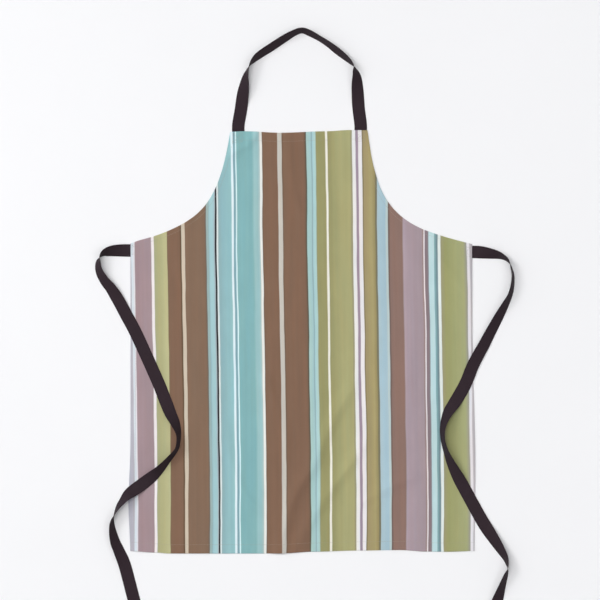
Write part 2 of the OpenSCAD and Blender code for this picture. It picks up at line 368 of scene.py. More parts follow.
def slopes(a, b, c):
    """Places run freely through their points. Tilts and shares are held to theirs."""
    return np.where(np.arange(4) < 2, (c - a) / 2, held_slope(a, b, c))


def route_at(route, u):
    """The route at places u along it, where its listed points are at 0, 1, 2 and so on."""
    last = len(route) - 1
    i = np.minimum(u.astype(int), last - 1)
    t = (u - i)[:, None]
    b, c = route[i], route[i + 1]
    leave = slopes(route[np.maximum(i - 1, 0)], b, c)
    arrive = slopes(b, c, route[np.minimum(i + 2, last)])
    curve = (3 * (c - b) - 2 * leave - arrive) * t**2
    return b + leave * t + curve + (2 * (b - c) + leave + arrive) * t**3


class TapeLine:
    """The middle of a tape along its route, with the ways across it and out of its face."""

    def __init__(self, points, origin):
        route = np.array(points, float)
        route[:, :2] = route[:, :2] * MM + np.array(origin)
        fine = np.linspace(0, len(route) - 1, 60 * len(route))
        steps = np.diff(self.middle_of(route_at(route, fine)), axis=0)
        gone = np.concatenate([[0], np.cumsum(np.linalg.norm(steps, axis=1))])
        count = int(gone[-1] / RING_STEP)
        self.along = np.linspace(0, gone[-1], count + 1)
        u = np.interp(self.along, gone, fine)
        here = route_at(route, u)
        before = route_at(route, np.maximum(u - 0.05, 0))
        after = route_at(route, np.minimum(u + 0.05, len(route) - 1))
        way = (after - before)[:, :2]
        way = way / np.linalg.norm(way, axis=1)[:, None]
        left = np.column_stack([-way[:, 1], way[:, 0], np.zeros(len(way))])
        up = np.array([0.0, 0.0, 1.0])
        turn = np.radians(here[:, 2])[:, None]
        self.across = left * np.cos(turn) + up * np.sin(turn)
        self.face = up * np.cos(turn) - left * np.sin(turn)
        self.middle = self.middle_of(here)
        self.over = here[:, 3]

    @staticmethod
    def middle_of(here):
        turn = np.radians(here[:, 2])
        tall = (TAPE_T * np.abs(np.cos(turn)) + TAPE_W * np.abs(np.sin(turn))) / 2
        return np.column_stack([here[:, 0], here[:, 1], OVER_PANEL * here[:, 3] + tall])


def tape_section():
    """The tape's cross-section: two flat faces, and edges rounded like a selvedge."""
    half = TAPE_T / 2
    inner = TAPE_W / 2 - half
    flat = np.linspace(-inner, inner, 9)
    bend = np.radians([60, 30, 0, -30, -60])
    upper = [(a, half) for a in flat]
    right = [(inner + half * math.cos(b), half * math.sin(b)) for b in bend]
    lower = [(a, -half) for a in flat[::-1]]
    left = [(-inner - half * math.cos(b), -half * math.sin(b)) for b in bend]
    return np.array(upper + right + lower + left)


def sweep_tape(name, line, material):
    """One length of tape along its whole line."""
    section = tape_section()
    offsets = (
        line.across[:, None, :] * section[None, :, :1]
        + line.face[:, None, :] * section[None, :, 1:]
    )
    points = (line.middle[:, None, :] + offsets).reshape(-1, 3)
    tape = new_object(name, points, tube_faces(len(line.middle), len(section)), material)
    along = np.repeat(line.along, len(section))
    across = np.tile(section[:, 0], len(line.along))
    store(tape, "weave", np.column_stack([along, across, np.zeros(len(along))]))
    return tape


def neck_points():
    """The neck loop's route with both sewn ends, which lie straight down behind the bib."""
    left = [(-x, y, tilt, over) for x, y, tilt, over in NECK_SEWN]
    return left + NECK_ROUTE + NECK_SEWN[::-1]


TAPE = tape_material()
NECK_LINE = TapeLine(neck_points(), (BIB_SHIFT, TOP_Y))
LEFT_LINE = TapeLine(LEFT_ROUTE, (-SIDE_X, LEFT_TIE_Y))
RIGHT_LINE = TapeLine(RIGHT_ROUTE, (SIDE_X, RIGHT_TIE_Y))

neck_tape = sweep_tape("neck_loop_tape", NECK_LINE, TAPE)
left_tape = sweep_tape("left_tie_tape", LEFT_LINE, TAPE)
right_tape = sweep_tape("right_tie_tape", RIGHT_LINE, TAPE)

# ---------------------------------------------------------------- how the cloth lies

# Soft folds of the cloth as it was smoothed out by hand: the points of each crest in millimetres,
# its height and its half width
FOLDS = [
    ([(128, -45), (110, -75), (90, -110), (66, -150), (44, -197), (22, -246), (-4, -290),
      (-20, -318), (-34, -365), (-46, -430), (-52, -480), (-56, -520)], 5.8, 13),
    ([(140, -175), (128, -200), (100, -244), (68, -284), (42, -321), (18, -361), (-8, -410),
      (-30, -470)], 4.4, 12),
    ([(-82, -55), (-72, -80), (-46, -148), (-34, -219), (-34, -260)], 3.2, 12),
    ([(-165, -150), (-159, -180), (-147, -240), (-127, -300), (-98, -337), (-75, -352)], 3.4, 12),
    ([(110, -336), (130, -321), (182, -292), (247, -266)], 2.8, 11),
    ([(262, 176), (279, 162), (309, 128), (345, 92)], 2.2, 9),
    ([(262, 120), (286, 96), (312, 62), (332, 20)], 1.4, 10),
    ([(-160, 366), (-146, 380), (-135, 389), (-117, 401), (-100, 412), (-90, 432),
      (-84, 452)], 4.0, 9),
    ([(-31, 440), (-29, 410), (-25, 350), (-13, 288), (2, 240)], 2.0, 10),
    ([(-330, -240), (-322, -300), (-326, -380), (-330, -440)], 2.4, 18),
    ([(-205, 20), (-212, -40), (-206, -120), (-186, -185), (-180, -260), (-188, -400)], 1.8, 13),
    ([(206, 20), (214, -60), (204, -150), (214, -230)], 1.4, 14),
]

# How far the hem, the bib's top and the shoulders lie above the true cut, in millimetres: places
# along X, then how far
HEM_LIE = [(-350, 4), (-300, 1), (-270, -1), (-50, -1), (20, 2.5), (110, 5), (200, 6),
           (250, 3), (290, 2.5), (350, 4)]
TOP_LIE = [(-145, -2), (-118, -1), (-42, -4), (50, -1), (97, 1.5), (133, 1)]
SHOULDER_LIE = [(-350, 1.5), (-330, 3), (-290, 2), (-240, 1), (-195, 0)]

# How far the skirt's right side lies to the right of the true cut, in millimetres: places along
# Y, then how far. The left side lies LEFT_SIDE_IN to the right, less a BULGE around BULGE_Y. The
# last two values are in metres.
RIGHT_SIDE_LIE = [(-420, -1.0), (-300, 0.8), (-273, 0.8), (67, -5.7)]
LEFT_SIDE_IN = 1.0
BULGE = 4.2
BULGE_Y = -0.325
BULGE_HALF = 0.07

# How far the bib lies to the left of its true cut, in millimetres, along its left edge and along
# its right edge: places along Y, then how far
BIB_PULL_LEFT = [(205, 0), (240, 1.8), (430, 1.6)]
BIB_PULL_RIGHT = [(205, 0), (245, 5.2), (290, 5.0), (350, 3.3), (430, 1.0)]

UNDULATION = 0.0010
OVER_TAPE = 0.0011
TAPE_SLOPE = 0.010


def fold_height(x, y, crest, height, half_width):
    """How high one fold lifts the cloth at each place. It fades at both of its ends."""
    ends = np.array(crest, float) * MM
    parts = np.linspace(0, len(ends) - 1, 14 * len(ends))
    line = np.column_stack([smooth_line(parts, ends[:, k]) for k in (0, 1)])
    tree = KDTree(len(line))
    for i, p in enumerate(line):
        tree.insert((p[0], p[1], 0), i)
    tree.balance()
    near = [tree.find((a, b, 0)) for a, b in zip(x, y)]
    share = np.array([n[1] for n in near]) / (len(line) - 1)
    away = np.array([n[2] for n in near]) / (half_width * MM)
    fade = smooth(share / 0.25) * smooth((1 - share) / 0.25)
    return height * MM * np.exp(-away**2) * fade


def smooth_line(u, values):
    """Values at places u between listed ones, on a Catmull-Rom curve."""
    last = len(values) - 1
    i = np.minimum(u.astype(int), last - 1)
    t = u - i
    a, b = values[np.maximum(i - 1, 0)], values[i]
    c, d = values[i + 1], values[np.minimum(i + 2, last)]
    return 0.5 * (2 * b + (c - a) * t + (2 * a - 5 * b + 4 * c - d) * t**2
                  + (3 * b - 3 * c + d - a) * t**3)


def lie(x, y):
    """Where a point of the true cut lies on the table: sides draw in, the bib leans, hems waver."""
    drawn_right = smooth_between(y * 1000, RIGHT_SIDE_LIE)
    drawn_left = LEFT_SIDE_IN - BULGE * np.exp(-(((y - BULGE_Y) / BULGE_HALF) ** 2))
    share = (x + SIDE_X) / (2 * SIDE_X)
    bib_free = 1 - smooth((y - SIDE_TOP_Y + 0.01) / 0.06)
    dx = (drawn_left * (1 - share) + drawn_right * share) * bib_free
    pull_left = smooth_between(y * 1000, BIB_PULL_LEFT)
    pull_right = smooth_between(y * 1000, BIB_PULL_RIGHT)
    dx = dx - pull_left - (pull_right - pull_left) * smooth((x + 0.14) / 0.28)
    near_hem = 1 - smooth((y - BOTTOM_Y) / 0.16)
    near_top = 1 - smooth((TOP_Y - y) / 0.10)
    near_shoulder = smooth((y - 0.13) / 0.06)
    dy = (smooth_between(x * 1000, HEM_LIE) * near_hem + smooth_between(x * 1000, TOP_LIE) * near_top
          + smooth_between(x * 1000, SHOULDER_LIE) * near_shoulder)
    return x + dx * MM, y + dy * MM


def sewn_middles():
    """The middle of each sewn tape end, and its half sizes across X and Y."""
    half_w, half_s = TAPE_W / 2, SEWN / 2
    return [
        (BIB_SHIFT - NECK_HALF, TOP_Y - half_s, half_w, half_s),
        (BIB_SHIFT + NECK_HALF, TOP_Y - half_s, half_w, half_s),
        (-SIDE_X + half_s, LEFT_TIE_Y, half_s, half_w),
        (SIDE_X - half_s, RIGHT_TIE_Y, half_s, half_w),
    ]


def over_tape_ends(x, y):
    """1 where the cloth rests on a sewn end of the tape, and 0 a little way off."""
    rise = np.zeros(len(x))
    for mid_x, mid_y, half_x, half_y in sewn_middles():
        out_x = np.maximum(np.abs(x - mid_x) - half_x, 0)
        out_y = np.maximum(np.abs(y - mid_y) - half_y, 0)
        rise = np.maximum(rise, smooth(1 - np.hypot(out_x, out_y) / TAPE_SLOPE))
    return rise


def under_ties(x, y):
    """1 where the cloth may rise freely, and 0 where a tie lies on it."""
    tree = KDTree(sum(len(line.middle) for line in (LEFT_LINE, RIGHT_LINE)))
    count = 0
    for line in (LEFT_LINE, RIGHT_LINE):
        for p, over in zip(line.middle, line.over):
            if over > 0.2:
                tree.insert((p[0], p[1], 0), count)
                count += 1
    tree.balance()
    away = np.array([tree.find((a, b, 0))[2] for a, b in zip(x, y)])
    return smooth((away - 0.014) / 0.03)


def lift(x, y):
    """How far the cloth stands above the table at each place, besides its own layers."""
    broad = noise_at(x, y, 17, 8, seed=3.1)
    narrow = noise_at(x, y, 42, 22, seed=8.7)
    free = UNDULATION * (1 + 0.65 * broad + 0.35 * narrow)
    for crest, height, half_width in FOLDS:
        free = free + fold_height(x, y, crest, height, half_width)
    on_tape = over_tape_ends(x, y)
    return free * under_ties(x, y) * (1 - on_tape) + on_tape * OVER_TAPE


# ---------------------------------------------------------------- outline of the cloth


def armhole_handles():
    """The four points of the +X armhole's Bezier curve."""
    a = np.array([BIB_HALF, TOP_Y])
    b = np.array([SIDE_X, SIDE_TOP_Y])
    corner = np.array(ARMHOLE_CORNER)
    return a, a + (corner - a) * HANDLE_SHARE, b + (corner - b) * HANDLE_SHARE, b


def armhole(t, inset):
    """Points of the +X armhole at t from bib to side, inside its edge by inset."""
    a, p, q, b = armhole_handles()
    t = np.atleast_1d(t)[:, None]
    place = a * (1 - t) ** 3 + 3 * p * (1 - t) ** 2 * t + 3 * q * (1 - t) * t**2 + b * t**3
    slope = (p - a) * (1 - t) ** 2 + 2 * (q - p) * (1 - t) * t + (b - q) * t**2
    slope = slope / np.linalg.norm(slope, axis=1)[:, None]
    inwards = np.column_stack([slope[:, 1], -slope[:, 0]])
    return place + inwards * np.reshape(inset, (-1, 1)), inwards


def shifted(x, y):
    """The bib lies a little to one side of the skirt."""
    return x + BIB_SHIFT * np.clip((y - SIDE_TOP_Y) / 0.030, 0, 1)


# ---------------------------------------------------------------- printed cloth

# How far to the right the print has run, in millimetres, at every DRIFT_STEP down from DRIFT_TOP
DRIFT = [-2.4, -0.4, 0.4, 2.8, 4.6, 6.5, 7.8, 7.7]
DRIFT_TOP = 0.430
DRIFT_STEP = 0.120


def print_place(x, y):
    """The place on the flat printed cloth that shows at a place on the table."""
    down = np.clip((DRIFT_TOP - y) / DRIFT_STEP, 0, len(DRIFT) - 1)
    return np.column_stack([x - smooth_line(down, np.array(DRIFT)) * MM, y, np.zeros(len(x))])


# The print's colours, sRGB from 0 to 255. They weren't picked by eye: a measuring script compared
# renders with the photograph and printed corrected colours, and most of these are, within a level,
# what it printed.
PALETTE = {
    "haze": (184, 182, 193), "mist": (218, 226, 233), "lilac_white": (231, 228, 232),
    "mauve": (168, 144, 149), "mauve_deep": (166, 145, 150), "pink_white": (241, 236, 238),
    "olive_grey": (170, 171, 135), "olive_mid": (179, 176, 131), "olive_pale": (193, 191, 146),
    "umber": (130, 106, 84), "brown": (132, 103, 84), "brown_warm": (132, 102, 83),
    "brown_soft": (134, 108, 89), "brown_edge": (120, 97, 80), "brown_grey": (119, 106, 95),
    "cream": (212, 198, 179), "aqua_dim": (158, 182, 181), "aqua_dusk": (150, 182, 189),
    "aqua_blue": (168, 205, 210), "blue_grey": (169, 182, 188), "ink": (41, 38, 42),
    "ice_dim": (222, 233, 232), "teal_grey": (148, 180, 185), "teal_blue": (147, 187, 193),
    "teal_mid": (153, 197, 201), "ice": (228, 243, 247), "teal_line": (131, 169, 180),
    "ice_green": (218, 244, 246), "teal": (134, 182, 185), "teal_soft": (136, 183, 184),
    "teal_light": (158, 197, 199), "teal_pale": (178, 200, 200), "ivory": (235, 236, 231),
    "stone": (204, 199, 190), "bark": (95, 88, 75), "aqua_green": (173, 205, 200),
    "aqua_mist": (168, 203, 205), "slate": (151, 181, 185), "aqua": (175, 211, 216),
    "aqua_leaf": (179, 209, 203), "olive_cool": (150, 154, 121), "olive": (156, 153, 107),
    "ivory_warm": (240, 238, 227), "olive_light": (172, 169, 122), "olive_edge": (160, 156, 124),
    "purple": (162, 144, 159), "white": (238, 234, 236), "gold_edge": (138, 126, 94),
    "gold": (165, 150, 111), "gold_light": (174, 161, 114), "gold_deep": (153, 142, 100),
    "tan": (126, 122, 100), "sky_green": (176, 199, 207), "sky": (170, 197, 209),
    "sky_grey": (189, 206, 206), "mauve_dark": (120, 101, 95), "mauve_brown": (144, 116, 106),
    "lilac_edge": (158, 139, 139), "lilac": (175, 157, 166), "lilac_deep": (166, 149, 155),
    "rose_white": (235, 227, 229), "plum": (140, 123, 128), "plum_blue": (139, 134, 141),
    "aqua_pale": (193, 221, 224), "steel": (139, 178, 182), "steel_mid": (129, 160, 165),
    "steel_deep": (118, 144, 150), "ivory_green": (229, 237, 234), "green_dull": (159, 155, 123),
    "green": (159, 160, 109), "green_light": (170, 173, 127), "green_grey": (160, 158, 148),
    "grey_purple": (195, 188, 193), "shade": (153, 146, 153),
    "brown_dark": (107, 86, 66), "lilac_dark": (148, 129, 124),
}

# The stripes of the print from the left: where each ends, in millimetres from the middle of the
# cloth, and its colour, or its colours along its left and its right edge
STRIPES = [
    (-348.5, "haze"), (-344, "mist"), (-341.5, "lilac_white"), (-307.7, "mauve", "mauve_deep"),
    (-302.3, "pink_white"), (-294.5, "olive_grey", "olive_mid"),
    (-275.2, "olive_mid", "olive_pale"), (-272.8, "umber"), (-249, "brown", "brown_warm"),
    (-245.9, "brown_dark"), (-239, "cream"), (-198, "brown_soft"), (-195.4, "brown_grey"),
    (-191, "aqua_dim"), (-188, "aqua_dusk", "aqua_blue"), (-180, "aqua_blue"),
    (-177.8, "blue_grey"), (-174.4, "ink"), (-171.2, "ice_dim"), (-163.5, "teal_grey", "teal_blue"),
    (-144.2, "teal_blue", "teal_mid"), (-139.8, "ice"), (-135.3, "teal_line"),
    (-132.7, "ice_green"), (-101.5, "teal"), (-96.5, "teal_soft", "teal_light"),
    (-90.5, "teal_light"), (-85.7, "teal_light", "teal_pale"), (-80.8, "ivory"),
    (-78.5, "brown_edge"), (-49, "brown", "brown_warm"), (-40.2, "stone"), (-37.5, "brown_edge"),
    (3.5, "brown", "brown_warm"), (7.3, "brown_warm", "brown_edge"), (9.7, "bark"),
    (18.8, "aqua_green", "aqua_mist"), (21.5, "slate"), (28.2, "aqua", "aqua_leaf"),
    (31, "olive_cool", "olive"), (48.4, "olive"), (52.9, "ivory_warm"),
    (77.5, "olive", "olive_light"), (98.5, "olive_light"), (102, "olive_edge"),
    (109.4, "ivory", "white"), (114.6, "purple"), (122.4, "white"), (125, "gold_edge"),
    (140, "gold", "gold_light"), (147.5, "gold_light", "gold_deep"), (151.2, "tan"),
    (160, "sky_green", "sky"), (168.5, "sky"), (173, "sky_grey"), (176.3, "mauve_dark"),
    (202.4, "mauve_brown"), (205, "lilac_dark", "lilac"), (242, "lilac", "lilac_deep"),
    (245.1, "lilac_edge"), (247.6, "rose_white"), (253, "plum"), (255.2, "plum_blue"),
    (266.2, "aqua_pale"), (270, "steel", "steel_mid"), (273.5, "steel_deep"),
    (279.3, "ivory_green"), (288, "green_dull", "green"), (325.5, "green", "green_light"),
    (333, "green_light", "green_grey"), (338.8, "lilac_white"), (365, "grey_purple", "shade"),
]
PRINT_LEFT = -0.3655
EDGE_SOFTNESS = 0.0004
EDGE_WAVER = 0.0022
EDGE_FINE = 0.0005
STRIPES_A_RAMP = 15


def stripe_ramp(tree, place, stripes, start):
    """A colour ramp over a few stripes that begin at start. All places are in metres."""
    length = stripes[-1][0] * MM - start
    share = tree.nodes.new("ShaderNodeMapRange")
    feed(tree, share.inputs["Value"], place)
    share.inputs["From Min"].default_value = start
    share.inputs["From Max"].default_value = start + length
    ramp = tree.nodes.new("ShaderNodeValToRGB")
    tree.links.new(share.outputs["Result"], ramp.inputs["Fac"])
    stops = []
    left_edge = start
    for right_edge, *colours in stripes:
        stops.append(((left_edge + EDGE_SOFTNESS - start) / length, PALETTE[colours[0]]))
        left_edge = right_edge * MM
        stops.append(((left_edge - EDGE_SOFTNESS - start) / length, PALETTE[colours[-1]]))
    elements = ramp.color_ramp.elements
    while len(elements) < len(stops):
        elements.new(1.0)
    for element, (position, colour) in zip(elements, stops):
        element.position = position
        element.color = to_linear(colour)
    return ramp.outputs["Color"]


def printed_colour(tree, x, y):
    """The stripes, with hand-drawn edges, streaks along them, a little unevenness, and painted shade
    in the hollows of the weave.
    """
    waver = noise_of(tree, spaced(tree, x, y, 26.0, 7.0), detail=2.0)
    fine = noise_of(tree, spaced(tree, x, y, 90.0, 24.0), detail=1.0)
    place = calc(tree, "ADD", x, spread_of(tree, waver, -EDGE_WAVER, EDGE_WAVER))
    place = calc(tree, "ADD", place, spread_of(tree, fine, -EDGE_FINE, EDGE_FINE))
    colour = None
    start = PRINT_LEFT
    for first in range(0, len(STRIPES), STRIPES_A_RAMP):
        stripes = STRIPES[first:first + STRIPES_A_RAMP]
        ramp = stripe_ramp(tree, place, stripes, start)
        past = calc(tree, "GREATER_THAN", place, start)
        colour = ramp if colour is None else mix_of(tree, past, colour, ramp)
        start = stripes[-1][0] * MM
    streak = noise_of(tree, spaced(tree, x, y, 130.0, 3.0), detail=1.0)
    warm = noise_of(tree, spaced(tree, x, y, 110.0, 6.0), detail=2.0)
    patch = noise_of(tree, spaced(tree, x, y, 34.0, 15.0), detail=3.0, roughness=0.55)
    tone = calc(tree, "MULTIPLY", spread_of(tree, streak, 0.93, 1.07),
                spread_of(tree, patch, 0.93, 1.07))
    # Painted shade and highlight: darker where the weave lies low, lighter on its crowns.
    tone = calc(tree, "MULTIPLY", tone, spread_of(tree, weave_height(tree, x, y), 0.95, 1.05))
    red = calc(tree, "MULTIPLY", tone, spread_of(tree, warm, 0.93, 1.07))
    blue = calc(tree, "MULTIPLY", tone, spread_of(tree, warm, 1.05, 0.95))
    tint = vector_of(tree, red, tone, blue)
    return mix_of(tree, 1.0, colour, tint, "MULTIPLY")


def weave_height(tree, x, y):
    """Plain weave: warp and weft threads that pass over and under each other."""
    turns = 2 * math.pi / YARN_PITCH
    warp = calc(tree, "SINE", calc(tree, "MULTIPLY", x, turns))
    weft = calc(tree, "SINE", calc(tree, "MULTIPLY", y, turns))
    cross = calc(tree, "MULTIPLY", warp, weft)
    return calc(tree, "MULTIPLY_ADD", cross, 0.5, 0.5)


def cloth_surface(tree, surface, x, y):
    """The feel of the cloth, whatever its colour."""
    slubs = noise_of(tree, spaced(tree, x, y, 1400.0, 220.0), detail=2.0, roughness=0.6)
    rumple = noise_of(tree, spaced(tree, x, y, 55.0, 30.0), detail=3.0, roughness=0.55)
    feed(tree, surface.inputs["Roughness"], spread_of(tree, slubs, 0.78, 0.95))
    surface.inputs["Specular IOR Level"].default_value = 0.2
    surface.inputs["Sheen Weight"].default_value = 0.06
    surface.inputs["Sheen Roughness"].default_value = 0.5
    soft = bump_of(tree, rumple, 0.0022, 0.35)
    threads = bump_of(tree, weave_height(tree, x, y), 0.0002, 0.6, soft)
    feed(tree, surface.inputs["Normal"], bump_of(tree, slubs, 0.00008, 0.3, threads))


def print_material():
    """The printed side of the cloth."""
    material, tree, surface = new_material("striped_cloth")
    x, y, _ = stored(tree, "print")
    feed(tree, surface.inputs["Base Color"], printed_colour(tree, x, y))
    cloth_surface(tree, surface, x, y)
    return material


BACK_COLOUR = (232, 230, 226)
SHOWS_THROUGH = 0.16


def back_material():
    """The unprinted side: nearly white, with the print showing through faintly."""
    material, tree, surface = new_material("striped_cloth_back")
    x, y, _ = stored(tree, "print")
    colour = mix_of(tree, SHOWS_THROUGH, to_linear(BACK_COLOUR), printed_colour(tree, x, y))
    feed(tree, surface.inputs["Base Color"], colour)
    cloth_surface(tree, surface, x, y)
    return material


CLOTH = print_material()
CLOTH_BACK = back_material()

# ---------------------------------------------------------------- panel

EDGE_R = (FRONT_Z - HEM_LOW_Z) / 2
ROW_STEP = 0.005
COLUMNS = 141
ARMHOLE_ROWS = 60
TURNED_IN = 0.0013


def panel_rows():
    """Left end, right end and height of each row of the front, inside the rounded edge."""
    skirt = np.linspace(BOTTOM_Y + EDGE_R, SIDE_TOP_Y - 0.003, round(SIDE_HEIGHT / ROW_STEP))
    rows = [(-SIDE_X + EDGE_R, SIDE_X - EDGE_R, y) for y in skirt]
    curve, _ = armhole(np.linspace(1, 0, ARMHOLE_ROWS), EDGE_R)
    for x, y in curve:
        x = min(x, SIDE_X - EDGE_R)
        y = min(y, TOP_Y - EDGE_R)
        rows.append((shifted(-x, y), shifted(x, y), y))
    return rows


def panel_grid():
    """Points of the flat front, row by row from the bottom, and how many rows there are."""
    rows = panel_rows()
    share = np.linspace(0, 1, COLUMNS)
    x = np.concatenate([left + (right - left) * share for left, right, _ in rows])
    y = np.concatenate([np.full(COLUMNS, height) for _, _, height in rows])
    return np.column_stack([x, y]), len(rows)


def grid_faces(rows, columns, first=0):
    """Quads between the rows of a grid whose points begin at number first."""
    faces = []
    for i in range(rows - 1):
        for k in range(columns - 1):
            a = first + i * columns + k
            faces.append((a, a + 1, a + columns + 1, a + columns))
    return faces


def rim_of(rows, columns):
    """The grid's outer points in order, anticlockwise from the bottom left."""
    bottom = list(range(columns))
    right = [i * columns + columns - 1 for i in range(1, rows)]
    top = [(rows - 1) * columns + k for k in range(columns - 2, -1, -1)]
    left = [i * columns for i in range(rows - 2, 0, -1)]
    return bottom + right + top + left


def outwards(rim):
    """The way out of the outline at each of its points, longer at corners, as a mitre is."""
    ahead = np.roll(rim, -1, axis=0) - rim
    behind = rim - np.roll(rim, 1, axis=0)
    normals = []
    for way in (ahead, behind):
        way = way / np.linalg.norm(way, axis=1)[:, None]
        normals.append(np.column_stack([way[:, 1], -way[:, 0]]))
    total = normals[0] + normals[1]
    total = total / np.linalg.norm(total, axis=1)[:, None]
    return total / np.maximum((total * normals[0]).sum(1), 0.5)[:, None]


def edge_rings():
    """Round the edge from the front to the back: how far out, how high, and how far along."""
    middle_z = HEM_LOW_Z + EDGE_R
    rings = []
    for turn in (60, 30, 0, -30, -60, -90):
        angle = math.radians(turn)
        rings.append((EDGE_R * math.cos(angle), middle_z + EDGE_R * math.sin(angle),
                      EDGE_R * math.radians(90 - turn)))
    far = EDGE_R * math.pi + TURNED_IN
    inner = EDGE_R - CLOTH_T
    rings.append((-TURNED_IN, HEM_LOW_Z, far))
    rings.append((-TURNED_IN, HEM_LOW_Z + CLOTH_T, far))
    rings.append((0, HEM_LOW_Z + CLOTH_T, far))
    rings.append((inner, middle_z, far))
    return rings


def build_panel():
    """The cloth in one piece: its front, the turn over every edge, and its unprinted back."""
    flat, rows = panel_grid()
    rim = np.array(rim_of(rows, COLUMNS))
    mitre = outwards(flat[rim])
    places = [flat]
    heights = [np.full(len(flat), FRONT_Z)]
    printed = [print_place(*lie(*flat.T))]
    for out, height, far in edge_rings():
        ring = flat[rim] + mitre * out
        places.append(ring)
        heights.append(np.full(len(rim), height))
        edge_x, edge_y = lie(*flat[rim].T)
        printed.append(print_place(edge_x + mitre[:, 0] * far, edge_y + mitre[:, 1] * far))
    places.append(flat)
    heights.append(np.full(len(flat), FRONT_Z - CLOTH_T))
    printed.append(printed[0])
    x, y = lie(*np.concatenate(places).T)
    z = np.concatenate(heights) + lift(x, y)
    faces = grid_faces(rows, COLUMNS)
    ring_starts = [len(flat) + i * len(rim) for i in range(len(edge_rings()))]
    back_start = ring_starts[-1] + len(rim)
    loops = [rim] + [start + np.arange(len(rim)) for start in ring_starts] + [back_start + rim]
    for upper, lower in zip(loops, loops[1:]):
        for a, b, c, d in zip(upper, np.roll(upper, -1), np.roll(lower, -1), lower):
            faces.append((int(a), int(b), int(c), int(d)))
    back_faces = len(faces)
    faces += grid_faces(rows, COLUMNS, back_start)
    panel = new_object("apron_cloth", np.column_stack([x, y, z]), faces, CLOTH)
    panel.data.materials.append(CLOTH_BACK)
    for face in panel.data.polygons[back_faces:]:
        face.material_index = 1
    store(panel, "print", np.concatenate(printed))
    return panel


panel = build_panel()

# ---------------------------------------------------------------- hems

HEM_IN = TURNED_IN + EDGE_R + 0.0001
HEM_STEP = 0.005
ARMHOLE_FROM, ARMHOLE_TO = 0.008, 0.992
ARMHOLE_STEPS = 76


def hem_section(width):
    """Insets and heights round a hem: flat layers, and a rounded fold along the inner edge."""
    low, high = HEM_LOW_Z, HEM_HIGH_Z
    middle, half = (low + high) / 2, (high - low) / 2
    flat = np.linspace(HEM_IN, width - half, 5)
    fold = np.radians([-60, -30, 0, 30, 60])
    under = [(inset, low) for inset in flat]
    round_it = [(width - half + half * math.cos(a), middle + half * math.sin(a)) for a in fold]
    over = [(inset, high) for inset in flat[::-1]]
    return np.array(under + round_it + over)


def build_hem(name, width, place_of, steps, nodes):
    """A strip of folded cloth. place_of gives the edge and the way in at shares along it."""
    section = hem_section(width)
    share = np.linspace(0, 1, steps)
    columns = [place_of(share, inset) for inset, _ in section]
    places = np.stack([column[0] for column in columns], axis=1).reshape(-1, 2)
    printed = np.stack([column[1] for column in columns], axis=1).reshape(-1, 2)
    x, y = lie(*places.T)
    z = np.tile(section[:, 1], steps) + lift(x, y)
    hem = new_object(name, np.column_stack([x, y, z]), tube_faces(steps, len(section)), CLOTH)
    store(hem, "print", print_place(*lie(*printed.T)))
    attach(hem, "apron")
    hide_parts(*nodes)
    return hem


def straight_edge(start, finish, inwards, splay=(0.0, 0.0)):
    """A straight edge between two points. Its ends slant by splay for each unit of depth."""
    start, finish, inwards = (np.array(v, float) for v in (start, finish, inwards))
    way = (finish - start) / np.linalg.norm(finish - start)

    def place_of(share, inset):
        a = start + way * splay[0] * inset
        b = finish + way * splay[1] * inset
        edge = a + (b - a) * share[:, None]
        return edge + inwards * inset, edge - inwards * inset

    return place_of


def armhole_edge(side):
    """The armhole's curve, from just under the top hem to just short of the side."""

    def place_of(share, inset):
        t = ARMHOLE_FROM + (ARMHOLE_TO - ARMHOLE_FROM) * share
        inside, _ = armhole(t, inset)
        outside, _ = armhole(t, -inset)
        result = []
        for points in (inside, outside):
            x = shifted(side * points[:, 0], points[:, 1])
            result.append(np.column_stack([x, points[:, 1]]))
        return result

    return place_of


def steps_for(length):
    """How many cross-sections a hem of this length needs."""
    return int(length / HEM_STEP) + 2


def build_hems():
    """All six hems. Ends of neighbouring hems lean so that they meet without a gap."""
    inner_x = SIDE_X - HEM_IN
    hems = [build_hem("bottom_hem_cloth", BOTTOM_HEM,
                      straight_edge((-inner_x, BOTTOM_Y), (inner_x, BOTTOM_Y), (0, 1)),
                      steps_for(2 * inner_x), ["bottom_hem"])]
    bib_end = BIB_HALF - ARMHOLE_HEM - 0.0004
    armhole_lean = 0.156
    hems.append(build_hem("bib_top_hem_cloth", TOP_HEM,
                          straight_edge((BIB_SHIFT - bib_end, TOP_Y), (BIB_SHIFT + bib_end, TOP_Y),
                                        (0, -1), (-armhole_lean, armhole_lean)),
                          steps_for(2 * bib_end), ["bib_top_hem"]))
    side_low = BOTTOM_Y + BOTTOM_HEM + 0.0002
    side_high = SIDE_TOP_Y - ARMHOLE_HEM - 0.0006
    shoulder_lean = 0.24
    for side, word in ((-1, "left"), (1, "right")):
        hems.append(build_hem(f"{word}_side_hem_cloth", SIDE_HEM,
                              straight_edge((side * SIDE_X, side_low), (side * SIDE_X, side_high),
                                            (-side, 0), (0.0, shoulder_lean)),
                              steps_for(side_high - side_low), [f"{word}_side_hem"]))
        hems.append(build_hem(f"{word}_armhole_hem_cloth", ARMHOLE_HEM, armhole_edge(side),
                              ARMHOLE_STEPS, [f"{word}_armhole_hem"]))
    return hems


hems = build_hems()

# ---------------------------------------------------------------- stitching

THREAD_R = 0.00016
STITCH_LEN = 0.0026
STITCH_PITCH = 0.0032
INSET_OF_LINE = 0.002
THREAD_COLOUR = (176, 168, 152)
PLY_PITCH = 0.0004


